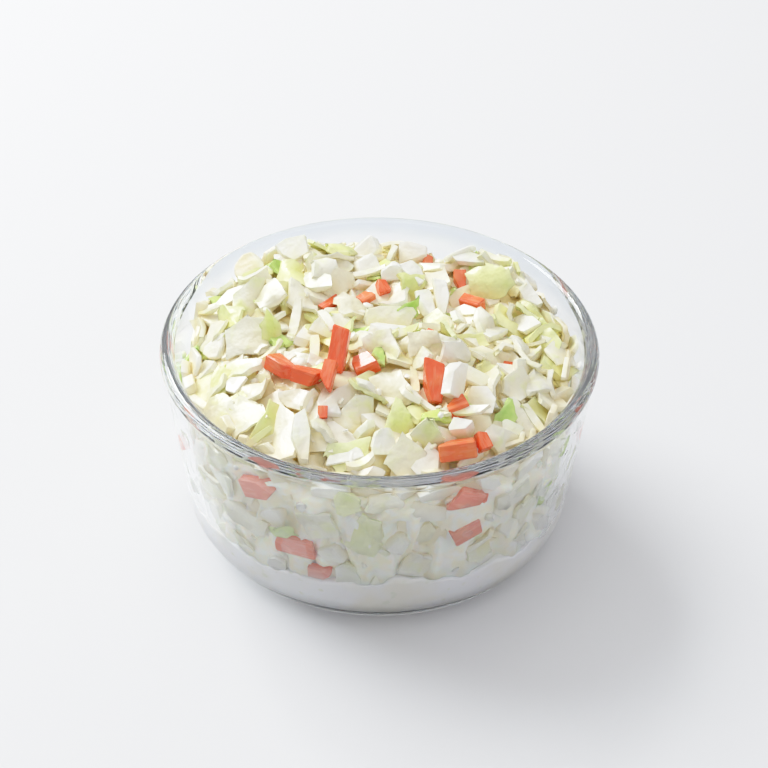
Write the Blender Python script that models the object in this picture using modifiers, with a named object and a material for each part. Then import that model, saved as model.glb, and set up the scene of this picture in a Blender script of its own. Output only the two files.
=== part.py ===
"""Coleslaw in a round glass bowl: the bowl, the milky dressing in its bottom and the heap of chopped salad.

Metres, +Z up. The origin is the middle of the bowl's flat base, on the surface it stands on.
"""

import math

import bmesh
import bpy
from mathutils import Vector, noise

# bowl
RIM_RADIUS = 0.0590  # outside, at the bead of the rim
HEIGHT = 0.0580
RIM_ROUND = 0.00205  # the rim is a full round of this radius
BEAD_STEP = 0.0008  # how far the rim stands out past the wall below it
BEAD_DROP = 0.0053  # from the top of the rim to where the wall starts
FLOOR = 0.0045
TAPER = math.radians(5.6)  # lean of the wall from the vertical
OUTER_CORNER = 0.0116
INNER_CORNER = 0.0085
TURN_STEPS = 72  # sides of every turned shape

# contents
GAP = 0.0003  # between solids that touch
DRESSING_LEVEL = 0.0160  # above the base
CROWN = 0.0042  # middle of the heap above the rim
EDGE_DROP = 0.0064  # heap's edge below the rim, on average
EDGE_SWING = 0.0011  # deeper at the back than at the front
EDGE_SWING_AT = math.radians(75)
HEAP_POWER = 4.0  # a high power gives a flat middle and a steep edge
HEAP_ROUNDING = 0.75
LUMP_SIZE = 0.0125
LUMP_HEIGHT = 0.0024
BUMP_SIZE = 0.0078
BUMP_HEIGHT = 0.0014
HEAP_RINGS = 15
SIDE_RINGS = 7

# swells of the heap: x, y, spread and height, negative where the salad has sunk
SWELLS = {
    "back_left_ridge": (-0.0270, 0.0370, 0.0130, 0.0050),
    "left_mound": (-0.0350, 0.0120, 0.0110, 0.0016),
    "right_mound": (0.0180, -0.0130, 0.0110, 0.0022),
    "right_back_lump": (0.0330, 0.0340, 0.0060, 0.0026),
    "middle_valley": (0.0110, 0.0080, 0.0070, -0.0032),
    "left_dip": (-0.0530, 0.0060, 0.0090, -0.0046),
    "edge_hollow": (0.0175, 0.0485, 0.0065, -0.0052),
}

COLLECTION = "coleslaw"


def clear_scene():
    for obj in list(bpy.data.objects):
        bpy.data.objects.remove(obj, do_unlink=True)


def make_collection(name):
    collection = bpy.data.collections.new(name)
    bpy.context.scene.collection.children.link(collection)
    return collection


def make_material(name, colour, roughness, metallic=0.0, transmission=0.0):
    material = bpy.data.materials.new(name)
    material.use_nodes = True
    shader = material.node_tree.nodes["Principled BSDF"]
    shader.inputs["Base Color"].default_value = (*colour, 1.0)
    shader.inputs["Roughness"].default_value = roughness
    shader.inputs["Metallic"].default_value = metallic
    shader.inputs["Transmission Weight"].default_value = transmission
    material.diffuse_color = (*colour, 1.0)
    return material


def arc(centre, radius, start, end, steps):
    """Points of a circular arc in the profile's plane, as (radius, height)."""
    points = []
    for i in range(steps + 1):
        angle = start + (end - start) * i / steps
        points.append((centre[0] + radius * math.cos(angle), centre[1] + radius * math.sin(angle)))
    return points


def wall_radius(height, radius_at_top, top):
    """Radius of a tapered wall at a height, from its radius at the top."""
    return radius_at_top - math.tan(TAPER) * (top - height)


def corner(radius_at_top, top, floor, rounding, steps):
    """Round corner between a tapered wall and a flat floor, from the wall to the floor."""
    centre_height = floor + rounding
    tangent_height = centre_height - rounding * math.sin(TAPER)
    tangent_radius = wall_radius(tangent_height, radius_at_top, top)
    centre = (tangent_radius - rounding * math.cos(TAPER), centre_height)
    return arc(centre, rounding, -TAPER, -math.pi / 2, steps)


def inner_radius(height):
    """Radius of the bowl's inside wall, above its rounded corner."""
    rim_centre_radius = RIM_RADIUS - RIM_ROUND
    top_radius = rim_centre_radius - RIM_ROUND * math.cos(TAPER)
    return wall_radius(height, top_radius, HEIGHT - RIM_ROUND * (1 - math.sin(TAPER)))


def bowl_profile():
    """From the axis on the floor, up the inside, over the rim and down the outside to the axis."""
    wall_top = HEIGHT - BEAD_DROP
    inside = corner(inner_radius(wall_top), wall_top, FLOOR, INNER_CORNER, 6)
    rim_centre = (RIM_RADIUS - RIM_ROUND, HEIGHT - RIM_ROUND)
    rim = arc(rim_centre, RIM_ROUND, math.pi - TAPER, -math.pi / 4, 12)
    outer_top = RIM_RADIUS - BEAD_STEP
    outside = corner(outer_top, wall_top, 0.0, OUTER_CORNER, 7)
    middle = (inside[0][1] + wall_top) / 2
    points = [(0.0, FLOOR)]
    points += reversed(inside)
    points.append((inner_radius(middle), middle))
    points += rim
    points.append((outer_top, wall_top))
    points.append((wall_radius(middle, outer_top, wall_top), middle))
    points += outside
    points.append((0.0, 0.0))
    return points


def dressing_profile():
    """Fills the bottom of the bowl up to its level, a gap away from the glass."""
    wall_top = HEIGHT - BEAD_DROP
    top_radius = inner_radius(DRESSING_LEVEL) - GAP
    below = corner(inner_radius(wall_top) - GAP, wall_top, FLOOR + GAP, INNER_CORNER - GAP, 6)
    points = [(0.0, DRESSING_LEVEL), (top_radius / 2, DRESSING_LEVEL), (top_radius, DRESSING_LEVEL)]
    points += below
    points += [(below[-1][0] / 2, FLOOR + GAP), (0.0, FLOOR + GAP)]
    return points


def turned_object(name, profile, material, collection):
    """Turn a profile about Z with a Screw modifier."""
    mesh = bpy.data.meshes.new(name)
    verts = [(radius, 0.0, height) for radius, height in profile]
    edges = [(i, i + 1) for i in range(len(verts) - 1)]
    mesh.from_pydata(verts, edges, [])
    mesh.materials.append(material)
    obj = bpy.data.objects.new(name, mesh)
    collection.objects.link(obj)
    screw = obj.modifiers.new("turn", "SCREW")
    screw.axis = "Z"
    screw.angle = 2 * math.pi
    screw.steps = TURN_STEPS
    screw.render_steps = TURN_STEPS
    screw.use_merge_vertices = True
    screw.merge_threshold = 0.00005
    screw.use_smooth_shade = True
    return obj


def edge_height(angle):
    """Height at which the heap would meet the wall if it had no lumps."""
    drop = EDGE_DROP + EDGE_SWING * math.cos(angle - EDGE_SWING_AT)
    return HEIGHT - drop


def swells(x, y):
    """Height that the heap's swells and hollows add over a place."""
    total = 0.0
    for centre_x, centre_y, spread, height in SWELLS.values():
        away = math.hypot(x - centre_x, y - centre_y) / spread
        total += height * math.exp(-away * away)
    return total


def unevenness(x, y):
    """Height that lumps, bumps, swells and hollows add over a place."""
    place = Vector((x, y, 0.0))
    lump = LUMP_HEIGHT * noise.noise(place / LUMP_SIZE + Vector((3.7, 1.2, 0.4)))
    bump = BUMP_HEIGHT * noise.noise(place / BUMP_SIZE + Vector((0.3, 8.1, 5.9)))
    return lump + bump + swells(x, y)


def uneven_edge(angle):
    """Height at which the lumpy heap meets the wall."""
    radius = inner_radius(edge_height(angle)) - GAP
    return edge_height(angle) + unevenness(radius * math.cos(angle), radius * math.sin(angle))


def heap_point(angle, out):
    """Point of the heap's surface, where out is 0 in the middle and 1 at the wall."""
    radius = out * (inner_radius(uneven_edge(angle)) - GAP)
    x = radius * math.cos(angle)
    y = radius * math.sin(angle)
    rise = (1 - out ** HEAP_POWER) ** HEAP_ROUNDING
    edge = edge_height(angle)
    return Vector((x, y, edge + (HEIGHT + CROWN - edge) * rise + unevenness(x, y)))


def heap_object(name, material, collection):
    """The heap of salad, from the dressing up to its uneven top."""
    low = DRESSING_LEVEL + GAP
    mean_edge = HEIGHT - EDGE_DROP
    mean_limit = inner_radius(mean_edge) - GAP
    low_limit = inner_radius(low) - GAP
    profile = [(0.0, low), (low_limit / 2, low)]
    for i in range(SIDE_RINGS):
        share = i / SIDE_RINGS
        profile.append((low_limit + (mean_limit - low_limit) * share, low + (mean_edge - low) * share))
    for i in range(HEAP_RINGS):
        profile.append((mean_limit * (1 - i / HEAP_RINGS), mean_edge))
    profile.append((0.0, mean_edge))

    bm = bmesh.new()
    verts = [bm.verts.new((radius, 0.0, height)) for radius, height in profile]
    edges = [bm.edges.new(pair) for pair in zip(verts, verts[1:])]
    bmesh.ops.spin(
        bm, geom=verts + edges, cent=(0, 0, 0), axis=(0, 0, 1), angle=2 * math.pi,
        steps=TURN_STEPS, use_merge=True,
    )
    bmesh.ops.remove_doubles(bm, verts=bm.verts, dist=0.00005)
    for vert in bm.verts:
        raise_to_heap(vert, low, mean_edge, mean_limit)
    bmesh.ops.recalc_face_normals(bm, faces=bm.faces)

    mesh = bpy.data.meshes.new(name)
    bm.to_mesh(mesh)
    bm.free()
    mesh.materials.append(material)
    mesh.shade_smooth()
    mesh.set_sharp_from_angle(angle=math.radians(60))
    obj = bpy.data.objects.new(name, mesh)
    collection.objects.link(obj)
    return obj


def raise_to_heap(vert, low, mean_edge, mean_limit):
    """Move a point of the even, turned shape to where the uneven heap has it."""
    angle = math.atan2(vert.co.y, vert.co.x)
    share = (vert.co.z - low) / (mean_edge - low)
    if share > 0.999:
        out = min(1.0, math.hypot(vert.co.x, vert.co.y) / mean_limit)
        vert.co = heap_point(angle, out)
    elif share > 0.001:
        height = low + (uneven_edge(angle) - low) * share
        radius = inner_radius(height) - GAP
        vert.co = Vector((radius * math.cos(angle), radius * math.sin(angle), height))


def main():
    clear_scene()
    collection = make_collection(COLLECTION)
    glass = make_material("glass", (0.93, 0.95, 0.96), 0.03, transmission=1.0)
    milk = make_material("dressing", (0.86, 0.84, 0.82), 0.25)
    salad = make_material("salad", (0.84, 0.83, 0.66), 0.40)
    turned_object("bowl", bowl_profile(), glass, collection)
    turned_object("dressing", dressing_profile(), milk, collection)
    heap_object("slaw", salad, collection)


main()
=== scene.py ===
import math
import time

import bmesh
import bpy
import numpy as np
from mathutils import Matrix, Vector, noise
from mathutils.bvhtree import BVHTree


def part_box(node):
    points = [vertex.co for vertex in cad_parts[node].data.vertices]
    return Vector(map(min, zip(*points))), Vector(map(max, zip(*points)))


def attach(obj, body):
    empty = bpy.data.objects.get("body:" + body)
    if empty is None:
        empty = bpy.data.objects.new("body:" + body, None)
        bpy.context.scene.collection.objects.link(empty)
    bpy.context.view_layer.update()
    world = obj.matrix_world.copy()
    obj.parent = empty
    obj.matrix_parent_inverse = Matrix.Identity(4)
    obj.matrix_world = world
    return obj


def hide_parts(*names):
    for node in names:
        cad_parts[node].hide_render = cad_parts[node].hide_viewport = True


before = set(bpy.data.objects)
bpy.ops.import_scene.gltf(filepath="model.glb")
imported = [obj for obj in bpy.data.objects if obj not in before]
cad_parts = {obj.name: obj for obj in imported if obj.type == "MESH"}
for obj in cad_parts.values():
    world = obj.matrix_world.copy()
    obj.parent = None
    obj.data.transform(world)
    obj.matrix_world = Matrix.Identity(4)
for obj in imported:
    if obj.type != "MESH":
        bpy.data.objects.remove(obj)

startTime = time.time()
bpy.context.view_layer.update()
rng = np.random.default_rng(5)
mm = 0.001


def report(text):
    print(f"[{time.time() - startTime:5.1f} s] {text}")


# ---------------------------------------------------------------- camera, light and floor
view = {"elevation": 38.9, "distance": 0.480, "lens": 82.0, "roll": 1.1, "aimX": 1.36 * mm,
        "aimBelowRim": 16.5 * mm}


def addCamera():
    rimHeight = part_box("bowl")[1][2]
    lift = math.radians(view["elevation"])
    aim = Vector((view["aimX"], 0, rimHeight - view["aimBelowRim"]))
    place = aim + Vector((0, -math.cos(lift), math.sin(lift))) * view["distance"]
    data = bpy.data.cameras.new("camera")
    data.lens = view["lens"]
    data.sensor_width = 36
    camera = bpy.data.objects.new("camera", data)
    turn = Matrix.Rotation(math.pi / 2 - lift, 4, "X") @ Matrix.Rotation(math.radians(view["roll"]), 4, "Z")
    camera.matrix_world = Matrix.Translation(place) @ turn
    bpy.context.scene.collection.objects.link(camera)
    bpy.context.scene.camera = camera


lights = {
    # name: place in metres, size, watts, colour
    "window": ((-0.95, 0.72, 1.02), 0.95, 24.0, (0.95, 0.98, 1.0)),
    "glint": ((-0.42, 0.80, 0.85), 0.16, 2.6, (0.98, 0.99, 1.0)),
    "ceiling": ((0.10, -0.10, 1.20), 0.90, 2.0, (0.97, 0.98, 1.0)),
    "roomSide": ((0.80, -0.35, 0.35), 0.60, 0.8, (0.86, 0.84, 1.0)),
}


def addLights():
    for name, (place, size, watts, colour) in lights.items():
        data = bpy.data.lights.new(name, "AREA")
        data.shape = "DISK"
        data.size = size
        data.energy = watts
        data.color = colour
        lamp = bpy.data.objects.new(name, data)
        lamp.location = place
        lamp.rotation_euler = (Vector((0, 0, 0.03)) - Vector(place)).to_track_quat("-Z", "Y").to_euler()
        bpy.context.scene.collection.objects.link(lamp)


def addWorld():
    world = bpy.data.worlds.new("studio")
    world.use_nodes = True
    nodes = world.node_tree.nodes
    links = world.node_tree.links
    background = nodes["Background"]
    background.inputs["Strength"].default_value = 0.80
    where = nodes.new("ShaderNodeTexCoord")
    split = nodes.new("ShaderNodeSeparateXYZ")
    ramp = nodes.new("ShaderNodeValToRGB")
    ramp.color_ramp.elements[0].position = 0.50
    ramp.color_ramp.elements[0].color = (0.20, 0.20, 0.205, 1)
    ramp.color_ramp.elements[1].position = 0.80
    ramp.color_ramp.elements[1].color = (0.98, 0.985, 1.0, 1)
    stretch = nodes.new("ShaderNodeMapRange")
    stretch.inputs["From Min"].default_value = -1
    links.new(where.outputs["Generated"], split.inputs[0])
    links.new(split.outputs["Z"], stretch.inputs["Value"])
    links.new(stretch.outputs["Result"], ramp.inputs["Fac"])
    links.new(ramp.outputs["Color"], background.inputs["Color"])
    bpy.context.scene.world = world


def softenHighlights():
    # bright parts run gently into white, as film does
    settings = bpy.context.scene.view_settings
    settings.view_transform = "Standard"
    settings.use_curve_mapping = True
    mapping = settings.curve_mapping
    mapping.white_level = (1.5, 1.5, 1.5)
    for place, value in ((0.4, 0.6), (0.6, 0.81), (0.8, 0.93)):
        mapping.curves[3].points.new(place, value)
    mapping.update()


def addFloor():
    bm = bmesh.new()
    bmesh.ops.create_grid(bm, x_segments=2, y_segments=2, size=3.0)
    bmesh.ops.translate(bm, vec=(0, 0, -0.0003), verts=bm.verts)
    floor = meshObject("floor", bm)
    material = bpy.data.materials.new("paleFloor")
    material.use_nodes = True
    shader = material.node_tree.nodes["Principled BSDF"]
    shader.inputs["Base Color"].default_value = (0.66, 0.66, 0.67, 1)
    shader.inputs["Roughness"].default_value = 0.7
    floor.data.materials.append(material)


# ---------------------------------------------------------------- helpers
def meshObject(name, bm, smooth=False):
    mesh = bpy.data.meshes.new(name)
    bm.to_mesh(mesh)
    bm.free()
    if smooth:
        mesh.shade_smooth()
    obj = bpy.data.objects.new(name, mesh)
    bpy.context.scene.collection.objects.link(obj)
    return obj


def join(tree, fromSocket, toSocket):
    tree.links.new(fromSocket, toSocket)


def addNode(tree, kind, inputs=None, **settings):
    node = tree.nodes.new(kind)
    for key, value in settings.items():
        setattr(node, key, value)
    for key, value in (inputs or {}).items():
        if isinstance(value, bpy.types.NodeSocket):
            tree.links.new(value, node.inputs[key])
        else:
            node.inputs[key].default_value = value
    return node


def mixColour(tree, factor, first, second):
    node = addNode(tree, "ShaderNodeMix", data_type="RGBA")
    for index, value in ((0, factor), (6, first), (7, second)):
        if isinstance(value, bpy.types.NodeSocket):
            tree.links.new(value, node.inputs[index])
        elif index == 0:
            node.inputs[index].default_value = value
        else:
            node.inputs[index].default_value = (*value, 1)
    return node.outputs[2]


def mathNode(tree, operation, first, second=0.0, clamp=False):
    node = addNode(tree, "ShaderNodeMath", operation=operation, use_clamp=clamp)
    for index, value in ((0, first), (1, second)):
        if isinstance(value, bpy.types.NodeSocket):
            tree.links.new(value, node.inputs[index])
        else:
            node.inputs[index].default_value = value
    return node.outputs[0]


def rampNode(tree, factor, low, high):
    node = addNode(tree, "ShaderNodeMapRange", {"Value": factor, "From Min": low, "From Max": high},
                   interpolation_type="SMOOTHSTEP")
    return node.outputs[0]


def smoothStep(low, high, values):
    share = np.clip((values - low) / (high - low), 0, 1)
    return share * share * (3 - 2 * share)


def newMaterial(name):
    material = bpy.data.materials.new(name)
    material.use_nodes = True
    return material, material.node_tree, material.node_tree.nodes["Principled BSDF"]


# ---------------------------------------------------------------- the glass bowl
bowl = {
    "rimRound": 2.05 * mm, "beadStep": 0.8 * mm, "beadDrop": 5.3 * mm, "floor": 4.5 * mm,
    "taper": 5.6, "outerCorner": 11.6 * mm, "innerCorner": 8.5 * mm, "steps": 192,
}
rimRadius = 59.0 * mm
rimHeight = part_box("bowl")[1][2]
taper = math.radians(bowl["taper"])


def arc(centre, radius, start, end, steps):
    angles = [start + (end - start) * i / steps for i in range(steps + 1)]
    return [(centre[0] + radius * math.cos(a), centre[1] + radius * math.sin(a)) for a in angles]


def wallRadius(height, radiusAtTop, top):
    return radiusAtTop - math.tan(taper) * (top - height)


def innerRadius(height):
    topRadius = rimRadius - bowl["rimRound"] * (1 + math.cos(taper))
    return wallRadius(height, topRadius, rimHeight - bowl["rimRound"] * (1 - math.sin(taper)))


def corner(radiusAtTop, top, floor, rounding, steps):
    centreHeight = floor + rounding
    tangentRadius = wallRadius(centreHeight - rounding * math.sin(taper), radiusAtTop, top)
    return arc((tangentRadius - rounding * math.cos(taper), centreHeight), rounding, -taper, -math.pi / 2, steps)


def straight(start, end, steps):
    return [(start[0] + (end[0] - start[0]) * i / steps, start[1] + (end[1] - start[1]) * i / steps)
            for i in range(1, steps)]


def turned(profile, steps):
    bm = bmesh.new()
    verts = [bm.verts.new((r, 0, z)) for r, z in profile]
    edges = [bm.edges.new(pair) for pair in zip(verts, verts[1:])]
    bmesh.ops.spin(bm, geom=verts + edges, cent=(0, 0, 0), axis=(0, 0, 1), angle=2 * math.pi,
                   steps=steps, use_merge=True)
    bmesh.ops.remove_doubles(bm, verts=bm.verts, dist=1e-6)
    bmesh.ops.recalc_face_normals(bm, faces=bm.faces)
    return bm


def makeBowl():
    wallTop = rimHeight - bowl["beadDrop"]
    outerTop = rimRadius - bowl["beadStep"]
    inside = corner(innerRadius(wallTop), wallTop, bowl["floor"], bowl["innerCorner"], 16)
    rim = arc((rimRadius - bowl["rimRound"], rimHeight - bowl["rimRound"]), bowl["rimRound"],
              math.pi - taper, -math.pi / 4, 26)
    outside = corner(outerTop, wallTop, 0.0, bowl["outerCorner"], 18)
    profile = [(0.0, bowl["floor"])] + straight((0, bowl["floor"]), inside[-1], 6)
    profile += list(reversed(inside)) + straight(inside[0], rim[0], 8) + rim
    profile += straight(rim[-1], (outerTop, wallTop), 3) + [(outerTop, wallTop)]
    profile += straight((outerTop, wallTop), outside[0], 8) + outside
    profile += straight(outside[-1], (0, 0), 6) + [(0.0, 0.0)]
    piece = meshObject("glassBowl", turned(profile, bowl["steps"]), smooth=True)
    piece.data.materials.append(glassMaterial())
    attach(piece, "root")
    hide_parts("bowl")


def glassMaterial():
    material, tree, shader = newMaterial("clearGlass")
    shader.inputs["Roughness"].default_value = 0.0
    shader.inputs["IOR"].default_value = 1.47
    shader.inputs["Transmission Weight"].default_value = 1.0
    where = addNode(tree, "ShaderNodeTexCoord")
    # the rolled rim is thick, and its colour is deeper there: partly the glass's own tint, partly a painted dark
    # reflection of the surroundings
    height = addNode(tree, "ShaderNodeSeparateXYZ", {0: where.outputs["Object"]}).outputs["Z"]
    thick = rampNode(tree, height, rimHeight - 6.5 * mm, rimHeight - 2.5 * mm)
    join(tree, mixColour(tree, thick, (0.965, 0.98, 0.985), (0.78, 0.83, 0.88)), shader.inputs["Base Color"])
    waves = addNode(tree, "ShaderNodeTexNoise", {"Vector": where.outputs["Object"], "Scale": 90.0, "Detail": 1.0})
    bump = addNode(tree, "ShaderNodeBump", {"Height": waves.outputs["Fac"], "Strength": 0.06, "Distance": 0.0006})
    join(tree, bump.outputs[0], shader.inputs["Normal"])
    clear = addNode(tree, "ShaderNodeBsdfTransparent", {"Color": (0.93, 0.95, 0.95, 1)})
    path = addNode(tree, "ShaderNodeLightPath")
    mix = addNode(tree, "ShaderNodeMixShader", {0: path.outputs["Is Shadow Ray"], 1: shader.outputs[0],
                                                2: clear.outputs[0]})
    join(tree, mix.outputs[0], tree.nodes["Material Output"].inputs["Surface"])
    return material


# ---------------------------------------------------------------- the dressing at the bottom
dressing = {
    "intoGlass": 0.25 * mm, "lobes": 1.3 * mm, "lobeSize": 6.5 * mm, "ripples": 0.6 * mm, "rippleSize": 2.6 * mm,
    # how far its edge stands above or below its level, at angles round the bowl
    "swings": {-180: 0.6, -150: 1.0, -130: -0.6, -90: 3.0, -55: 0.3, -30: -2.3, 0: -0.5, 60: 0.8, 120: -0.8, 180: 0.6},
}
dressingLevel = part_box("dressing")[1][2]


def dressingEdge(angle, place):
    swing = np.interp(math.degrees(angle), list(dressing["swings"]), list(dressing["swings"].values())) * mm
    lobes = dressing["lobes"] * noise.noise(place / dressing["lobeSize"]) * 2
    return swing + lobes + dressing["ripples"] * noise.noise(place / dressing["rippleSize"]) * 2


def makeDressing():
    wallTop = rimHeight - bowl["beadDrop"]
    reach = dressing["intoGlass"]
    wall = corner(innerRadius(wallTop) + reach, wallTop, bowl["floor"] - reach,
                  bowl["innerCorner"] + reach, 12)
    topRadius = innerRadius(dressingLevel) + reach
    profile = [(0.0, dressingLevel)] + straight((0, dressingLevel), (topRadius, dressingLevel), 30)
    profile += [(topRadius, dressingLevel)] + straight((topRadius, dressingLevel), wall[0], 3) + wall
    profile += straight(wall[-1], (0, wall[-1][1]), 6) + [(0.0, wall[-1][1])]
    bm = turned(profile, 240)
    bottom = bowl["floor"] + bowl["innerCorner"] / 2
    for vert in bm.verts:
        share = min(1.0, max(0.0, (vert.co.z - bottom) / (dressingLevel - bottom)))
        near = smoothStep(0.55, 0.95, math.hypot(vert.co.x, vert.co.y) / topRadius)
        rise = share * near * dressingEdge(math.atan2(vert.co.y, vert.co.x), vert.co)
        vert.co.z += rise
        # the wall leans out, so what rises moves out with it
        out = 1 + rise * math.tan(taper) / max(math.hypot(vert.co.x, vert.co.y), 1 * mm)
        vert.co.x *= out
        vert.co.y *= out
    piece = meshObject("milkyDressing", bm, smooth=True)
    piece.data.materials.append(dressingMaterial())
    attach(piece, "root")
    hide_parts("dressing")


def dressingMaterial():
    material, tree, shader = newMaterial("milkyDressing")
    where = addNode(tree, "ShaderNodeTexCoord")
    cloud = addNode(tree, "ShaderNodeTexNoise", {"Vector": where.outputs["Object"], "Scale": 70.0, "Detail": 3.0})
    spots = addNode(tree, "ShaderNodeTexNoise", {"Vector": where.outputs["Object"], "Scale": 330.0, "Detail": 2.0})
    colour = mixColour(tree, rampNode(tree, cloud.outputs["Fac"], 0.42, 0.68), (0.90, 0.89, 0.90), (0.87, 0.84, 0.76))
    colour = mixColour(tree, rampNode(tree, spots.outputs["Fac"], 0.62, 0.75), colour, (0.80, 0.80, 0.70))
    join(tree, colour, shader.inputs["Base Color"])
    shader.inputs["Roughness"].default_value = 0.3
    shader.inputs["Subsurface Weight"].default_value = 0.6
    shader.inputs["Subsurface Radius"].default_value = (1.0, 0.9, 0.8)
    shader.inputs["Subsurface Scale"].default_value = 0.002
    return material


# ---------------------------------------------------------------- the heap's height, from the frame
grid = {"cell": 0.6 * mm, "reach": 58.2 * mm}
cells = int(round(2 * grid["reach"] / grid["cell"]))


def cadTree(node):
    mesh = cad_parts[node].data
    verts = [v.co.copy() for v in mesh.vertices]
    return BVHTree.FromPolygons(verts, [tuple(p.vertices) for p in mesh.polygons])


def heapTarget():
    tree = cadTree("slaw")
    heights = np.full((cells, cells), np.nan)
    for i in range(cells):
        x = -grid["reach"] + (i + 0.5) * grid["cell"]
        for j in range(cells):
            y = -grid["reach"] + (j + 0.5) * grid["cell"]
            if x * x + y * y < (54.3 * mm) ** 2:
                hit = tree.ray_cast(Vector((x, y, 0.1)), Vector((0, 0, -1)))
                if hit[0] is not None:
                    heights[i, j] = hit[0].z
    return heights


def cellOf(values):
    return np.clip(((values + grid["reach"]) / grid["cell"]).astype(int), 0, cells - 1)


def heapAt(x, y):
    return heap[cellOf(x), cellOf(y)]


heap = heapTarget()
# outside the heap, its height at the nearest place on the wall
spread = np.arange(cells) * grid["cell"] - grid["reach"] + grid["cell"] / 2
gridX, gridY = np.meshgrid(spread, spread, indexing="ij")
gridR = np.hypot(gridX, gridY)
pull = np.minimum(1.0, 53.0 * mm / np.maximum(gridR, 1e-6))
heap = np.where(np.isnan(heap), heap[cellOf(gridX * pull), cellOf(gridY * pull)], heap)
report("heap's height read from the frame")

# ---------------------------------------------------------------- shapes of the chopped pieces
leafChip = {"length": (9.0, 15.0), "width": (7.0, 11.5), "thick": (0.9, 1.7), "cuts": (3, 6), "away": (0.62, 0.92),
            "crinkle": 2.0, "ragged": 0.35}
ribChunk = {"length": (6.5, 13.0), "width": (4.5, 8.5), "thick": (1.2, 2.7), "cuts": (4, 7), "away": (0.60, 0.90), "round": 0.35}
shred = {"length": (8.0, 15.0), "width": (1.3, 2.6), "thick": (0.8, 1.3), "curl": 110.0}
crumb = {"size": (2.0, 4.2)}
carrotBit = {"length": (6.5, 11.0), "width": (3.8, 5.2), "thick": (2.6, 4.2), "cuts": (1, 2), "away": (0.62, 0.88),
             "round": 0.3}
greenBit = {"length": (5.5, 10.0), "width": (3.0, 6.0), "thick": (0.5, 0.9), "cuts": (3, 5), "away": (0.62, 0.92),
            "crinkle": 1.4, "ragged": 0.30}


def within(limits):
    return float(rng.uniform(*limits))


def inOrder(bm):
    # the points by their places, so that random draws fall on the same ones in every run
    return sorted(bm.verts, key=lambda vert: tuple(round(value / (0.01 * mm)) for value in vert.co))


def cutCorners(bm, length, width, look, fill):
    for i in range(int(rng.integers(look["cuts"][0], look["cuts"][1] + 1))):
        angle = rng.uniform(0, 2 * math.pi)
        lean = rng.uniform(-0.7, 0.7) if fill else 0.0
        normal = Vector((math.cos(angle), math.sin(angle), lean)).normalized()
        away = within(look["away"]) * math.hypot(length * math.cos(angle), width * math.sin(angle)) / 2
        done = bmesh.ops.bisect_plane(bm, geom=bm.verts[:] + bm.edges[:] + bm.faces[:], dist=1e-6,
                                      plane_co=normal * away, plane_no=normal, clear_outer=True)
        if fill:
            rim = [g for g in done["geom_cut"] if isinstance(g, bmesh.types.BMEdge)]
            bmesh.ops.edgenet_fill(bm, edges=rim)


def firstLowest(corners):
    start = corners.index(min(corners))
    return corners[start:] + corners[:start]


def template(bm, kind):
    # arrays of one piece, with points all over it that tell where it touches
    bmesh.ops.recalc_face_normals(bm, faces=bm.faces)
    if bm.calc_volume(signed=True) < 0:
        bmesh.ops.reverse_faces(bm, faces=bm.faces[:])
    bmesh.ops.triangulate(bm, faces=bm.faces[:])
    rimLayer = bm.verts.layers.float.get("rim")
    ordered = inOrder(bm)
    for index, vert in enumerate(ordered):
        vert.index = index
    verts = np.array([v.co[:] for v in ordered])
    rim = np.array([v[rimLayer] if rimLayer else 0.0 for v in ordered])
    faces = np.array(sorted(firstLowest([v.index for v in f.verts]) for f in bm.faces))
    bm.free()
    points = [verts]
    for face in faces:
        a, b, c = verts[face]
        steps = int(math.ceil(max(np.linalg.norm(b - a), np.linalg.norm(c - a), np.linalg.norm(c - b)) / (0.65 * mm)))
        for i in range(1, steps):
            shares = np.arange(0, steps - i + 1)[:, None]
            points.append(a + (b - a) * (i / steps) + (c - a) * (shares / steps))
    points = np.vstack(points)
    spots = np.unique(np.round(points / (0.35 * mm)).astype(int), axis=0, return_index=True)[1]
    return {"verts": verts, "faces": faces, "rim": rim, "points": points[np.sort(spots)], "kind": kind}


def sheetTemplate(look, kind):
    length, width, thick = within(look["length"]) * mm, within(look["width"]) * mm, within(look["thick"]) * mm
    bm = bmesh.new()
    bmesh.ops.create_grid(bm, x_segments=4, y_segments=3, size=0.5)
    bmesh.ops.scale(bm, vec=(length, width, 1), verts=bm.verts)
    cutCorners(bm, length, width, look, fill=False)
    phase = Vector((rng.uniform(0, 9), rng.uniform(0, 9), 0))
    for vert in bm.verts:
        vert.co.z += look["crinkle"] * mm * noise.noise(vert.co / (4.5 * mm) + phase)
    rimLayer = bm.verts.layers.float.new("rim")
    for vert in inOrder(bm):
        vert[rimLayer] = 1.0 if vert.is_boundary else 0.0
        if vert.is_boundary:
            vert.co += Vector(rng.normal(0, look["ragged"] * mm, 3)) * Vector((1, 1, 0))
    bmesh.ops.recalc_face_normals(bm, faces=bm.faces)
    bmesh.ops.solidify(bm, geom=bm.faces[:], thickness=thick)
    return template(bm, kind)


def chunkTemplate(look, kind, bevelSteps=1):
    length, width, thick = within(look["length"]) * mm, within(look["width"]) * mm, within(look["thick"]) * mm
    bm = bmesh.new()
    bmesh.ops.create_cube(bm, size=1)
    bmesh.ops.scale(bm, vec=(length, width, thick), verts=bm.verts)
    cutCorners(bm, length, width, look, fill=True)
    bmesh.ops.bevel(bm, geom=bm.edges[:], offset=look["round"] * mm, affect="EDGES", segments=bevelSteps,
                    profile=0.5, material=-1, clamp_overlap=True)
    bmesh.ops.remove_doubles(bm, verts=bm.verts, dist=0.02 * mm)
    return template(bm, kind)


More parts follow.
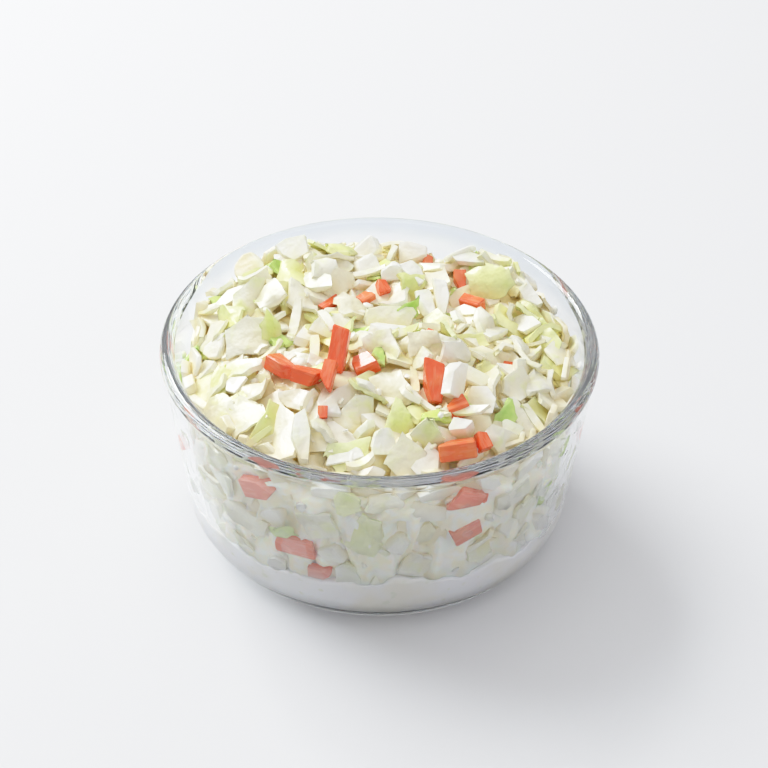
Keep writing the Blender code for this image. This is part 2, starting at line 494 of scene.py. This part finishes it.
def shredTemplate(look, kind):
    length, width, thick = within(look["length"]) * mm, within(look["width"]) * mm, within(look["thick"]) * mm
    bm = bmesh.new()
    bmesh.ops.create_grid(bm, x_segments=9, y_segments=1, size=0.5)
    bmesh.ops.scale(bm, vec=(length, width, 1), verts=bm.verts)
    lean = rng.uniform(-0.9, 0.9)
    curl = rng.uniform(0.3, 1.0) * look["curl"]
    for vert in bm.verts:
        along = vert.co.x
        vert.co.x += lean * vert.co.y
        vert.co.y *= 1 - 0.35 * (2 * along / length) ** 2
    for vert in bm.verts:
        angle = vert.co.x * curl
        sideways = vert.co.y
        vert.co = Vector((math.sin(angle) / curl, sideways + 0.15 * math.sin(angle * 1.7) * length / 3,
                          (1 - math.cos(angle)) / curl))
    rimLayer = bm.verts.layers.float.new("rim")
    bmesh.ops.recalc_face_normals(bm, faces=bm.faces)
    bmesh.ops.solidify(bm, geom=bm.faces[:], thickness=thick)
    centre = sum((v.co for v in bm.verts), Vector()) / len(bm.verts)
    bmesh.ops.translate(bm, vec=-centre, verts=bm.verts)
    return template(bm, kind)


def crumbTemplate(look, kind):
    size = within(look["size"]) * mm
    bm = bmesh.new()
    bmesh.ops.create_icosphere(bm, subdivisions=1, radius=0.5)
    bmesh.ops.scale(bm, vec=(size, size * within((0.6, 1.0)), size * within((0.35, 0.8))), verts=bm.verts)
    for vert in inOrder(bm):
        vert.co *= rng.uniform(0.75, 1.15)
    return template(bm, kind)


def makeTemplates():
    shapes = {
        "leaf": [sheetTemplate(leafChip, "leaf") for i in range(26)],
        "pale": [sheetTemplate(leafChip, "pale") for i in range(14)],
        "rib": [chunkTemplate(ribChunk, "rib") for i in range(34)],
        "shred": [shredTemplate(shred, "shred") for i in range(16)],
        "crumb": [crumbTemplate(crumb, "crumb") for i in range(12)],
        "carrot": [chunkTemplate(carrotBit, "carrot") for i in range(12)],
        "green": [sheetTemplate(greenBit, "green") for i in range(12)],
    }
    return shapes


templates = makeTemplates()
report("shapes of the pieces: " + ", ".join(
    f"{kind} {int(np.mean([len(t['faces']) for t in group]))} faces" for kind, group in templates.items()))


# ---------------------------------------------------------------- laying the pieces in the bowl
laid = {kind: [] for kind in templates}
bends = {"leaf": 46.0, "pale": 50.0, "rib": 16.0, "shred": 0.0, "crumb": 0.0, "carrot": 4.0, "green": 60.0}
pressed = {"glass": 0.12 * mm, "wallShare": 26, "wallSink": 0.9 * mm, "heapShare": 90}


def freshPiece(kind, size=None):
    # one of the shapes, stretched and bent so that no two are alike
    shape = templates[kind][int(rng.integers(len(templates[kind])))]
    stretch = rng.uniform(0.82, 1.2, 3) if size is None else np.array(size) * mm / np.ptp(shape["verts"], axis=0)
    bend = rng.normal(0, 1, 3) * bends[kind] * (1 if size is None else 0.5)
    limit = 3.0 * mm

    def form(points):
        points = points * stretch
        extra = bend[0] * points[:, 0] ** 2 + bend[1] * points[:, 1] ** 2 + bend[2] * points[:, 0] * points[:, 1]
        points[:, 2] += limit * np.tanh(extra / limit)
        return points

    return {"shape": shape, "verts": form(shape["verts"]), "points": form(shape["points"])}


def turns(normals, spins):
    # rotations that take local z to each normal, after a spin about it
    normals = normals / np.linalg.norm(normals, axis=1, keepdims=True)
    helper = np.where(np.abs(normals[:, 2:3]) < 0.9, [[0.0, 0.0, 1.0]], [[1.0, 0.0, 0.0]])
    first = np.cross(helper, normals)
    first /= np.linalg.norm(first, axis=1, keepdims=True)
    second = np.cross(normals, first)
    c, s = np.cos(spins)[:, None], np.sin(spins)[:, None]
    return np.stack([first * c + second * s, -first * s + second * c, normals], axis=2)


def innerRadiusOf(z):
    topRadius = rimRadius - bowl["rimRound"] * (1 + math.cos(taper))
    top = rimHeight - bowl["rimRound"] * (1 - math.sin(taper))
    straightRadius = topRadius - math.tan(taper) * (top - np.minimum(z, 56 * mm))
    # inside the rounded corner at the floor
    lift = np.clip((bowl["floor"] + bowl["innerCorner"] - z) / bowl["innerCorner"], 0, 1)
    return straightRadius - bowl["innerCorner"] * (1 - np.sqrt(1 - lift ** 2))


def pressIn(points):
    # what would stand in the glass is pressed flat against it
    radius = np.hypot(points[:, 0], points[:, 1])
    limit = innerRadiusOf(points[:, 2]) + pressed["glass"]
    share = np.minimum(1.0, limit / np.maximum(radius, 1e-6))
    points[:, 0] *= share
    points[:, 1] *= share
    return points


def keep(piece, turn, shift):
    verts = pressIn(piece["verts"] @ turn.T + shift)
    spots = pressIn(piece["points"] @ turn.T + shift)
    laid[piece["shape"]["kind"]].append((piece, verts))
    np.maximum.at(topHeight, (cellOf(spots[:, 0]), cellOf(spots[:, 1])), spots[:, 2])
    column, row = wallCell(spots)
    np.maximum.at(wallDepth, (column, row), innerRadiusOf(spots[:, 2]) - np.hypot(spots[:, 0], spots[:, 1]))
    return spots


wall = {"cell": 0.6 * mm, "low": 12.0 * mm, "high": 62 * mm, "layer": 5.0 * mm}
wallColumns = int(2 * math.pi * 54 * mm / wall["cell"])
wallRows = int((wall["high"] - wall["low"]) / wall["cell"])
wallDepth = np.full((wallColumns, wallRows), -pressed["glass"])


def wallCell(points):
    around = np.arctan2(points[..., 1], points[..., 0])
    column = ((around / (2 * math.pi) + 0.5) * wallColumns).astype(int) % wallColumns
    row = np.clip(((points[..., 2] - wall["low"]) / wall["cell"]).astype(int), 0, wallRows - 1)
    return column, row


def layOnWall(kind, tilt, tries=10, angle=None, height=None, spin=None, size=None, deepest=None, low=16):
    piece = freshPiece(kind, size)
    if angle is None:
        angles = rng.uniform(-math.pi, math.pi, tries * 6)
        heights = rng.uniform(low * mm, 58 * mm, tries * 6)
        spots = np.stack([np.cos(angles) * 50 * mm, np.sin(angles) * 50 * mm, heights], axis=1)
        order = np.argsort(wallDepth[wallCell(spots)] + 9 * (heights > heapAt(spots[:, 0], spots[:, 1])))[:tries]
        angles, heights = angles[order], heights[order]
    else:
        angles, heights = np.full(tries, math.radians(angle)), np.full(tries, height * mm)
    spins = rng.uniform(0, 2 * math.pi, tries) if spin is None else np.full(tries, math.radians(spin))
    outward = np.stack([np.cos(angles), np.sin(angles), np.full(tries, -math.sin(taper))], axis=1)
    lean = np.tan(np.radians(rng.uniform(0, tilt, tries)))[:, None]
    aside = rng.normal(0, 1, (tries, 3))
    aside /= np.linalg.norm(aside, axis=1, keepdims=True)
    rotations = turns(outward + aside * lean, spins)
    start = np.stack([np.cos(angles), np.sin(angles), np.zeros(tries)], axis=1)
    centres = start * (innerRadiusOf(heights) - 9 * mm)[:, None]
    centres[:, 2] = heights
    points = np.einsum("kij,nj->kni", rotations, piece["points"]) + centres[:, None, :]
    room = innerRadiusOf(points[..., 2]) - np.hypot(points[..., 0], points[..., 1]) - wallDepth[wallCell(points)]
    nearest = room.min(axis=1)
    slide = np.minimum(np.percentile(room, pressed["wallShare"], axis=1), nearest + pressed["wallSink"])
    settled = points + start[:, None, :] * slide[:, None, None]
    inward = innerRadiusOf(settled[..., 2]) - np.hypot(settled[..., 0], settled[..., 1])
    over = (settled[..., 2] - heapAt(settled[..., 0], settled[..., 1])).max(axis=1)
    score = np.maximum(inward, 0).mean(axis=1) + 3 * np.maximum(over - 1.0 * mm, 0)
    best = int(np.argmin(score))
    limit = wall["layer"] if deepest is None else deepest * mm
    if angle is None and (inward[best].mean() > limit or over[best] > 2.0 * mm):
        return False
    keep(piece, rotations[best], centres[best] + start[best] * slide[best])
    return True


def softField(pitch):
    # a gentle random height for every cell, with swells a pitch apart
    count = int(2 * grid["reach"] / pitch) + 3
    knots = rng.normal(0, 1, (count, count))
    at = (spread + grid["reach"]) / pitch
    low = at.astype(int)
    share = at - low
    share = share * share * (3 - 2 * share)
    rows = knots[low] * (1 - share)[:, None] + knots[low + 1] * share[:, None]
    return rows[:, low] * (1 - share) + rows[:, low + 1] * share


relief = {"pitch": 10.5 * mm, "height": 2.1 * mm, "lower": 0.8 * mm, "highest": 3.2 * mm}
wanted = heap + relief["height"] * softField(relief["pitch"]) - relief["lower"]
wanted = np.minimum(wanted, heap + relief["highest"])
topHeight = heap - 6.5 * mm
topHeight[gridR > 49 * mm] = dressingLevel
guarded = np.zeros((cells, cells), bool)


def layOnTop(kind, tilt, over, tries=10, where=None, size=None, turn=None, sink=None):
    piece = freshPiece(kind, size)
    if where is None:
        # the lowest of many places get the next piece
        reach = 53.5 * mm * np.sqrt(rng.random(tries * 6))
        around = rng.uniform(-math.pi, math.pi, tries * 6)
        x, y = reach * np.cos(around), reach * np.sin(around)
        need = wanted[cellOf(x), cellOf(y)] - topHeight[cellOf(x), cellOf(y)]
        order = np.argsort(-need)[:tries]
        x, y = x[order], y[order]
    else:
        x, y = np.full(tries, where[0] * mm), np.full(tries, where[1] * mm)
    around = rng.uniform(-math.pi, math.pi, tries)
    steep = np.radians(rng.uniform(*tilt, tries))
    normals = np.stack([np.sin(steep) * np.cos(around), np.sin(steep) * np.sin(around), np.cos(steep)], axis=1)
    rotations = turns(normals, rng.uniform(0, 2 * math.pi, tries))
    if turn is not None:
        rotations = np.repeat(turn[None], tries, axis=0)
    points = np.einsum("kij,nj->kni", rotations, piece["points"])
    # keep clear of the wall, as far as the bent edge that the glass presses flat
    radius = np.hypot(points[..., 0] + x[:, None], points[..., 1] + y[:, None])
    past = np.maximum((radius - 54.5 * mm).max(axis=1), 0)
    share = 1 - past / np.maximum(np.hypot(x, y), 1 * mm)
    x, y = x * share, y * share
    column, row = cellOf(points[..., 0] + x[:, None]), cellOf(points[..., 1] + y[:, None])
    contact = topHeight[column, row] - points[..., 2]
    aim = rng.uniform(*over) * mm
    aimed = aim - (points[..., 2] - wanted[column, row]).max(axis=1)
    rest = np.minimum(np.percentile(contact, pressed["heapShare"], axis=1), aimed)
    if sink is not None:
        rest = contact.max(axis=1) - sink * mm
    showing = (contact < rest[:, None]).mean(axis=1)
    covering = guarded[column, row].mean(axis=1)
    short = np.abs((points[..., 2] + rest[:, None] - wanted[column, row]).max(axis=1) - aim)
    best = int(np.argmax(showing - short / (6 * mm) - covering * 5))
    if where is None and (showing[best] < 0.42 or covering[best] > 0.12):
        return False
    spots = keep(piece, rotations[best], np.array([x[best], y[best], rest[best]]))
    if where is not None:
        guarded[cellOf(spots[:, 0]), cellOf(spots[:, 1])] = True
    return True


def stickTurn(heading, lean, roll=0.0):
    # local x along the heading and tipped up by the lean, then rolled about itself
    angle, up, about = (math.radians(value) for value in (heading, lean, roll))
    along = np.array([math.cos(angle) * math.cos(up), math.sin(angle) * math.cos(up), math.sin(up)])
    side = np.array([-math.sin(angle), math.cos(angle), 0.0])
    above = np.cross(along, side)
    side, above = side * math.cos(about) + above * math.sin(about), above * math.cos(about) - side * math.sin(about)
    return np.stack([along, side, above], axis=1)


def faceTurn(azimuth, tilt, spin):
    # a flat piece whose face looks to the azimuth, tilted from lying flat
    angle, steep = math.radians(azimuth), math.radians(tilt)
    normal = np.array([[math.sin(steep) * math.cos(angle), math.sin(steep) * math.sin(angle), math.cos(steep)]])
    return turns(normal, np.array([math.radians(spin)]))[0]


def fill(layer, lay):
    placed = 0
    for kind, count, settings in layer:
        for i in range(count):
            placed += bool(lay(kind, **settings))
    return placed


wallSticks = [
    # angle, height, spin, length, width, thickness
    (-123, 44, 20, 10.5, 5.5, 3.0), (-113, 27, 5, 11.0, 6.0, 3.0), (-106, 19, 0, 6.0, 3.5, 2.4),
    (-66, 45, 150, 9.0, 6.5, 3.0), (-60, 42, 20, 6.0, 4.5, 3.0), (-64, 33, 20, 8.0, 5.5, 3.0),
    (40, 40, 60, 9.0, 4.5, 3.0), (75, 30, 20, 8.5, 4.5, 3.0), (130, 44, 120, 10.0, 4.5, 3.0),
    (165, 28, 0, 9.0, 5.0, 3.0), (100, 20, 80, 7.0, 4.0, 3.0), (10, 26, 10, 9.5, 4.5, 3.0),
    (-15, 38, 100, 8.0, 4.5, 3.0), (-160, 36, 45, 8.0, 4.5, 3.0),
]
wallGreens = [
    (-116, 32, 30, 8.5, 4.5, 0.6), (-36, 33, 60, 8.0, 4.0, 0.6), (-30, 46, 70, 7.0, 3.5, 0.6),
    (55, 44, 10, 8.0, 4.0, 0.6), (110, 35, 80, 8.0, 4.0, 0.6), (150, 22, 20, 7.0, 4.0, 0.6),
    (-175, 46, 0, 7.0, 4.0, 0.6),
]


def layWall():
    for kind, rows in (("green", wallGreens), ("carrot", wallSticks)):
        for angle, height, spin, length, width, thick in rows:
            layOnWall(kind, 4, 1, angle, height, spin, (length, width, thick))
    count = fill([
        ("leaf", 50, {"tilt": 16, "deepest": 1.4}), ("pale", 45, {"tilt": 16, "deepest": 1.4}),
        ("rib", 220, {"tilt": 20, "deepest": 2.8}), ("leaf", 50, {"tilt": 16, "deepest": 1.4}),
        ("shred", 40, {"tilt": 25, "deepest": 2.2}), ("crumb", 25, {"tilt": 40, "deepest": 2.0}),
        ("leaf", 220, {"tilt": 40, "deepest": 3.2}), ("pale", 50, {"tilt": 40, "deepest": 3.2}),
        ("rib", 420, {"tilt": 40, "deepest": 4.0}),
        ("carrot", 24, {"tilt": 40, "deepest": 3.5}), ("green", 36, {"tilt": 40, "deepest": 3.5}),
        ("leaf", 300, {"tilt": 50}), ("rib", 160, {"tilt": 50}), ("crumb", 50, {"tilt": 60}),
    ], layOnWall)
    report(f"{count} pieces laid against the glass")


topSticks = [
    # kind, x, y, heading, lean, roll, length, width, thickness
    ("carrot", 14, -23.5, 85, 40, 0, 11.5, 5.5, 5.0), ("carrot", 20, -31, 20, 10, 0, 5.5, 4.5, 4.0),
    ("carrot", 20, -44, 5, 8, -30, 9.5, 5.0, 4.5), ("carrot", 26, -41, 120, 30, 0, 5.0, 3.5, 3.0),
    ("carrot", -24.5, -17, -45, 5, -20, 9.5, 5.0, 4.0), ("carrot", -18, -23.5, -25, 0, -20, 8.0, 5.0, 4.0),
    ("carrot", -10.5, -15, 78, 45, 0, 12.5, 4.5, 3.5), ("carrot", -13, -25, 75, 30, 0, 8.0, 3.5, 3.0),
    ("carrot", -3.5, -17, 20, 15, 0, 6.5, 5.5, 4.0), ("carrot", -14, 14, 40, 10, 0, 6.5, 2.5, 2.0),
    ("carrot", -4, 18, 40, 10, 0, 4.5, 3.5, 3.0), ("carrot", 0, 22, 120, 20, 0, 4.5, 3.5, 3.0),
    ("carrot", 13, 40, 90, 40, 0, 4.5, 3.5, 3.0), ("carrot", 22, 27, 90, 40, 0, 6.0, 3.5, 3.0),
    ("carrot", 25, 17, -35, 8, 0, 7.0, 4.0, 3.5), ("carrot", 13, -7, 60, 10, 0, 2.5, 2.0, 2.0),
    ("carrot", 34, -10, 80, 10, 0, 3.0, 2.5, 2.0), ("carrot", -14, -34, 90, 30, 0, 3.5, 2.5, 2.0),
    ("rib", -19.5, -41, 88, 22, 10, 15.0, 5.0, 3.6), ("rib", 21, -38, 15, 10, 20, 7.0, 5.0, 4.5),
    ("rib", 19.5, -25, 80, 35, 60, 10.0, 6.0, 3.0), ("rib", 17, 17, 100, 30, 0, 13.0, 4.0, 3.0),
    ("shred", 22, -33, -12, 5, 20, 13.0, 3.0, 2.4), ("shred", -23, 3, 75, 15, 0, 15.0, 3.5, 3.0),
    ("shred", -4, -48, 20, 10, 0, 8.0, 2.5, 3.5), ("shred", -22, -11, 60, -8, 180, 10.0, 2.8, 2.0),
    ("shred", -17, -10, 95, 5, 180, 10.0, 2.8, 2.0), ("shred", -14, -7, 120, 0, 180, 9.0, 2.6, 2.0),
]
topFaces = [
    # kind, x, y, azimuth, tilt, spin, length, width, thickness
    ("leaf", 1, 7, -85, 42, 6, 15.0, 9.0, 1.3), ("leaf", -35, -3, -110, 40, 20, 14.0, 12.0, 1.4),
    ("green", 8, 11, -60, 70, 30, 8.0, 6.0, 0.8), ("green", -43, 16, -110, 35, 20, 9.0, 6.0, 0.8),
    ("green", 33, -29, -70, 45, 60, 9.0, 6.0, 0.8), ("green", -41, -10, -120, 40, 80, 6.0, 4.0, 0.7),
    ("pale", -34, 25, -90, 40, 10, 9.0, 5.0, 0.9), ("pale", -29, -3, -60, 50, 80, 11.0, 6.0, 0.9),
    ("pale", 31, 23, -100, 50, 30, 13.0, 11.0, 1.5), ("pale", -7, -46, -90, 30, 10, 13.0, 9.0, 1.2),
    ("leaf", 7, -46, -80, 45, 60, 12.0, 9.0, 1.2), ("leaf", -5, -31, -80, 50, 20, 11.0, 8.0, 1.1),
    ("rib", 9, 41, -100, 40, 10, 8.0, 7.0, 4.0), ("rib", -37, 33, -110, 35, 30, 9.0, 8.0, 4.0),
    ("rib", -4, 40, -95, 40, 80, 9.0, 8.0, 4.0), ("rib", -24, 36, -95, 30, 40, 9.0, 8.0, 4.0),
    ("pale", 24, -2, -80, 40, 10, 9.0, 6.0, 1.0), ("pale", 6, -35, -70, 45, 50, 12.0, 8.0, 1.0),
]


def layTop():
    count = fill([
        ("rib", 300, {"tilt": (10, 70), "over": (-6, -3)}), ("leaf", 160, {"tilt": (10, 75), "over": (-6, -2.5)}),
        ("leaf", 160, {"tilt": (15, 80), "over": (-3.5, -0.5)}), ("rib", 300, {"tilt": (10, 75), "over": (-3.5, -0.5)}),
        ("pale", 90, {"tilt": (15, 80), "over": (-3, 0)}),
        ("shred", 40, {"tilt": (0, 60), "over": (-3, -1)}), ("carrot", 10, {"tilt": (0, 60), "over": (-3, -1.5)}),
        ("green", 26, {"tilt": (10, 70), "over": (-2, 0)}),
    ], layOnTop)
    for kind, x, y, heading, lean, roll, length, width, thick in topSticks:
        layOnTop(kind, (0, 0), (0, 0), 1, (x, y), (length, width, thick), stickTurn(heading, lean, roll), 2.2)
    for kind, x, y, azimuth, tilt, spin, length, width, thick in topFaces:
        layOnTop(kind, (0, 0), (0, 0), 1, (x, y), (length, width, thick), faceTurn(azimuth, tilt, spin), 3.2)
    count += fill([
        ("pale", 80, {"tilt": (25, 80), "over": (-1.0, 2.2)}), ("leaf", 130, {"tilt": (25, 85), "over": (-1.0, 2.8)}),
        ("rib", 70, {"tilt": (15, 80), "over": (-1.0, 2.2)}),
        ("leaf", 160, {"tilt": (25, 85), "over": (-1.0, 2.8)}), ("rib", 70, {"tilt": (15, 80), "over": (-1.0, 2.2)}),
        ("shred", 30, {"tilt": (0, 55), "over": (0, 1.8)}), ("green", 14, {"tilt": (10, 60), "over": (0, 1.4)}),
        ("crumb", 20, {"tilt": (0, 60), "over": (-1.5, 0.6)}),
    ], layOnTop)
    report(f"{count} pieces laid on the heap")


def smoothed(heights, reach):
    # the mean height round every cell
    steps = int(reach / grid["cell"])
    shifts = [(i, j) for i in range(-steps, steps + 1) for j in range(-steps, steps + 1) if i * i + j * j <= steps ** 2]
    return sum(np.roll(heights, shift, axis=(0, 1)) for shift in shifts) / len(shifts)


layWall()
layTop()
# the mean height round each place, which sets the painted shade low between the pieces
crowd = smoothed(topHeight, 4.5 * mm)


# ---------------------------------------------------------------- joined pieces, one mesh for each kind
# edges blunter than this shade as round ones
soft = {"leaf": 62, "pale": 62, "rib": 32, "shred": 62, "crumb": 60, "carrot": 30, "green": 62}


def joinedPiece(kind, name, material):
    verts, faces, grains, tints, places = [], [], [], [], []
    total = 0
    for piece, spot in laid[kind]:
        shape = piece["shape"]
        tone = rng.random()
        green = rng.random()
        offset = rng.uniform(-1, 1, 3)
        radius = np.hypot(spot[:, 0], spot[:, 1])
        toGlass = innerRadiusOf(spot[:, 2]) - radius
        milk = smoothStep(21 * mm, 15 * mm, spot[:, 2] + rng.uniform(-1.2, 1.2) * mm)
        film = 0.38 * smoothStep(1.4 * mm, 0.1 * mm, toGlass) * rng.uniform(0.4, 1.0)
        # painted shade: the lower a place lies under the mean height round it, the more it takes the warm gap colour
        # that shaded gaps have; partly it is the dressing gathered there
        below = crowd[cellOf(spot[:, 0]), cellOf(spot[:, 1])] - spot[:, 2]
        gapShadeAndDressing = smoothStep(-1.2 * mm, 5.0 * mm, below) * smoothStep(2.0 * mm, 5.0 * mm, toGlass)
        # against the glass, pieces a little behind the front ones take this colour too: the dressing filling the gaps,
        # and painted shade there
        gapShadeAndDressing = np.maximum(gapShadeAndDressing, 0.6 * smoothStep(0.3 * mm, 2.6 * mm, toGlass) * smoothStep(5.5 * mm, 3.0 * mm, toGlass))
        verts.append(spot)
        faces.append(shape["faces"] + total)
        total += len(spot)
        grains.append(piece["verts"] + offset)
        count = np.ones(len(spot))
        tints.append(np.stack([tone * count, green * count, shape["rim"]], axis=1))
        places.append(np.stack([np.maximum(milk, film), gapShadeAndDressing, count * 0], axis=1))
    verts, faces = np.vstack(verts), np.vstack(faces)
    mesh = bpy.data.meshes.new(name)
    mesh.from_pydata(verts.tolist(), [], faces.tolist())
    for label, values in (("grain", grains), ("tint", tints), ("place", places)):
        attribute = mesh.attributes.new(label, "FLOAT_VECTOR", "POINT")
        attribute.data.foreach_set("vector", np.vstack(values).astype(np.float32).ravel())
    mesh.shade_smooth()
    mesh.set_sharp_from_angle(angle=math.radians(soft[kind]))
    mesh.materials.append(material)
    obj = bpy.data.objects.new(name, mesh)
    bpy.context.scene.collection.objects.link(obj)
    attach(obj, "root")
    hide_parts("slaw")
    report(f"{name}: {len(laid[kind])} pieces, {len(faces)} triangles")
    return obj


def vegetableMaterial(name, look):
    material, tree, shader = newMaterial(name)
    grain = addNode(tree, "ShaderNodeAttribute", attribute_name="grain").outputs["Vector"]
    tint = addNode(tree, "ShaderNodeSeparateXYZ", {0: addNode(tree, "ShaderNodeAttribute", attribute_name="tint").outputs["Vector"]})
    place = addNode(tree, "ShaderNodeSeparateXYZ", {0: addNode(tree, "ShaderNodeAttribute", attribute_name="place").outputs["Vector"]})
    patches = addNode(tree, "ShaderNodeTexNoise", {"Vector": grain, "Scale": look["patchScale"], "Detail": 3.0})
    # fibres run along the piece
    along = addNode(tree, "ShaderNodeMapping", {"Vector": grain, "Scale": (look["along"], 1, 1)})
    fibres = addNode(tree, "ShaderNodeTexNoise", {"Vector": along.outputs[0], "Scale": look["fibreScale"], "Detail": 2.0})
    share = mathNode(tree, "ADD", mathNode(tree, "MULTIPLY", tint.outputs["Y"], look["byPiece"]),
                     mathNode(tree, "MULTIPLY", patches.outputs["Fac"], look["byPatch"]))
    colour = mixColour(tree, rampNode(tree, share, look["from"], look["to"]), look["base"], look["second"])
    colour = mixColour(tree, mathNode(tree, "MULTIPLY", tint.outputs["Z"], look["rimShare"]), colour, look["rim"])
    colour = mixColour(tree, mathNode(tree, "MULTIPLY", tint.outputs["X"], look["toneShare"]), colour, look["tone"])
    # painted shade, partly the dressing's colour, low in the gaps between the pieces
    colour = mixColour(tree, mathNode(tree, "MULTIPLY", place.outputs["Y"], look["gapShadeAndDressingShare"]), colour, look["gapShadeAndDressing"])
    # lighter streaks along the fibres: a dressing film, and partly a painted wet sheen
    filmStreaksAndSheen = rampNode(tree, fibres.outputs["Fac"], 0.46, 0.70)
    colour = mixColour(tree, mathNode(tree, "MULTIPLY", filmStreaksAndSheen, look["filmAndSheenShare"]), colour, look["film"])
    colour = mixColour(tree, place.outputs["X"], colour, (0.93, 0.92, 0.90))
    join(tree, colour, shader.inputs["Base Color"])
    rough = mathNode(tree, "ADD", mathNode(tree, "MULTIPLY", fibres.outputs["Fac"], 0.25), look["roughness"] - 0.12)
    join(tree, rough, shader.inputs["Roughness"])
    shader.inputs["Subsurface Weight"].default_value = look["glow"]
    shader.inputs["Subsurface Radius"].default_value = look["glowColour"]
    shader.inputs["Subsurface Scale"].default_value = look["glowSize"] * mm
    shader.inputs["Coat Weight"].default_value = 0.5
    shader.inputs["Coat Roughness"].default_value = 0.12
    blunt = addNode(tree, "ShaderNodeBevel", {"Radius": 0.25 * mm}, samples=4)
    swell = addNode(tree, "ShaderNodeBump", {"Height": patches.outputs["Fac"], "Strength": look["swell"], "Distance": 0.003,
                                             "Normal": blunt.outputs[0]})
    bump = addNode(tree, "ShaderNodeBump", {"Height": fibres.outputs["Fac"], "Strength": look["bump"], "Distance": 0.0004,
                                            "Normal": swell.outputs[0]})
    join(tree, bump.outputs[0], shader.inputs["Normal"])
    # some light passes through the thin pieces
    through = addNode(tree, "ShaderNodeBsdfTranslucent", {"Color": colour})
    both = addNode(tree, "ShaderNodeMixShader", {0: look["through"], 1: shader.outputs[0], 2: through.outputs[0]})
    join(tree, both.outputs[0], tree.nodes["Material Output"].inputs["Surface"])
    return material


# the colour for places low between the pieces is painted shade, partly the dressing's colour
cabbageLook = {"base": (0.975, 0.97, 0.86), "second": (0.88, 0.95, 0.46), "rim": (0.96, 0.965, 0.92), "rimShare": 0.5,
               "tone": (0.97, 0.93, 0.62), "toneShare": 0.45, "gapShadeAndDressing": (0.97, 0.82, 0.40), "gapShadeAndDressingShare": 0.95,
               "byPiece": 0.6, "byPatch": 2.2, "from": 1.30, "to": 1.95, "patchScale": 170.0, "fibreScale": 1000.0,
               "roughness": 0.32, "glow": 0.0, "glowSize": 0.9, "through": 0.26, "glowColour": (1.0, 0.97, 0.90), "bump": 0.22, "swell": 0.45,
               "film": (0.95, 0.95, 0.92), "filmAndSheenShare": 0.0, "along": 0.6}
ribLook = dict(cabbageLook, base=(0.97, 0.975, 0.95), second=(0.93, 0.97, 0.76), tone=(0.96, 0.95, 0.84),
               toneShare=0.4)
paleLook = dict(cabbageLook, base=(0.88, 0.94, 0.48), second=(0.76, 0.90, 0.24), tone=(0.95, 0.93, 0.42), rimShare=0.35,
                rim=(0.94, 0.95, 0.80), gapShadeAndDressing=(0.90, 0.78, 0.28))
greenLook = dict(cabbageLook, base=(0.64, 0.87, 0.22), second=(0.32, 0.68, 0.07), rim=(0.84, 0.94, 0.44),
                 rimShare=0.4, tone=(0.82, 0.90, 0.32), gapShadeAndDressingShare=0.4)
# the carrots' film colour is a dressing film, and partly a painted sheen
carrotLook = dict(cabbageLook, base=(0.96, 0.15, 0.035), second=(0.98, 0.30, 0.09), rim=(0.95, 0.3, 0.1),
                  tone=(0.90, 0.09, 0.02), gapShadeAndDressing=(0.75, 0.12, 0.03), gapShadeAndDressingShare=0.4, glow=0.0, through=0.2,
                  glowColour=(1.0, 0.4, 0.2), glowSize=1.2, fibreScale=800.0, bump=0.5, roughness=0.26,
                  swell=0.25,
                  film=(1.0, 0.52, 0.30), filmAndSheenShare=0.22, along=0.22, **{"from": 1.3, "to": 2.0})


def makeCore():
    # what lies behind the outer pieces, drawn in from the heap's outline
    bm = bmesh.new()
    bm.from_mesh(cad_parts["slaw"].data)
    bmesh.ops.remove_doubles(bm, verts=bm.verts, dist=1e-5)
    bmesh.ops.subdivide_edges(bm, edges=bm.edges[:], cuts=2, use_grid_fill=True)
    low = dressingLevel
    for vert in bm.verts:
        radius = math.hypot(vert.co.x, vert.co.y)
        height = heap[cellOf(np.array(vert.co.x)), cellOf(np.array(vert.co.y))]
        rough = 1.6 * mm * noise.noise(vert.co / (5 * mm)) + 0.7 * mm * noise.noise(vert.co / (2.2 * mm))
        share = min(1.0, max(0.0, (vert.co.z - low) / (height - low)))
        # its foot stands in the dressing and against the glass, so no gap shows at the dressing's edge
        foot = 1 - smoothStep(0, 3.5 * mm, vert.co.z - low)
        target = low + share * (height - 7.0 * mm - low) - foot * 4.5 * mm
        inset = max(-0.1 * mm, 1.3 * mm - 2.0 * rough) * (1 - foot) - 0.1 * mm * foot
        inner = min(radius, innerRadius(target) - inset)
        vert.co.x *= inner / max(radius, 1e-6)
        vert.co.y *= inner / max(radius, 1e-6)
        vert.co.z = target + rough * share
    bmesh.ops.recalc_face_normals(bm, faces=bm.faces)
    piece = meshObject("saladCore", bm, smooth=True)
    material, tree, shader = newMaterial("saladCore")
    where = addNode(tree, "ShaderNodeTexCoord")
    cloud = addNode(tree, "ShaderNodeTexNoise", {"Vector": where.outputs["Object"], "Scale": 300.0, "Detail": 4.0})
    colour = mixColour(tree, rampNode(tree, cloud.outputs["Fac"], 0.35, 0.65), (0.96, 0.88, 0.66), (0.96, 0.94, 0.85))
    join(tree, colour, shader.inputs["Base Color"])
    shader.inputs["Roughness"].default_value = 0.45
    shader.inputs["Subsurface Weight"].default_value = 0.4
    shader.inputs["Subsurface Scale"].default_value = 0.002
    piece.data.materials.append(material)
    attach(piece, "root")
    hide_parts("slaw")


makeCore()
for kind, name, look in (("leaf", "leafChips", cabbageLook), ("pale", "paleLeaves", paleLook), ("rib", "ribChunks", ribLook),
                         ("shred", "cabbageShreds", cabbageLook), ("crumb", "cabbageCrumbs", ribLook),
                         ("carrot", "carrotBits", carrotLook), ("green", "greenBits", greenLook)):
    joinedPiece(kind, name, vegetableMaterial(name, look))
makeDressing()
makeBowl()
addFloor()
addWorld()
addLights()
addCamera()
softenHighlights()
# light finds its way out of the thick rim only after many bounces
bpy.context.scene.cycles.max_bounces = 24
bpy.context.scene.cycles.transmission_bounces = 20
bpy.context.scene.cycles.glossy_bounces = 11
bpy.context.scene.cycles.diffuse_bounces = 12
report("scene ready")
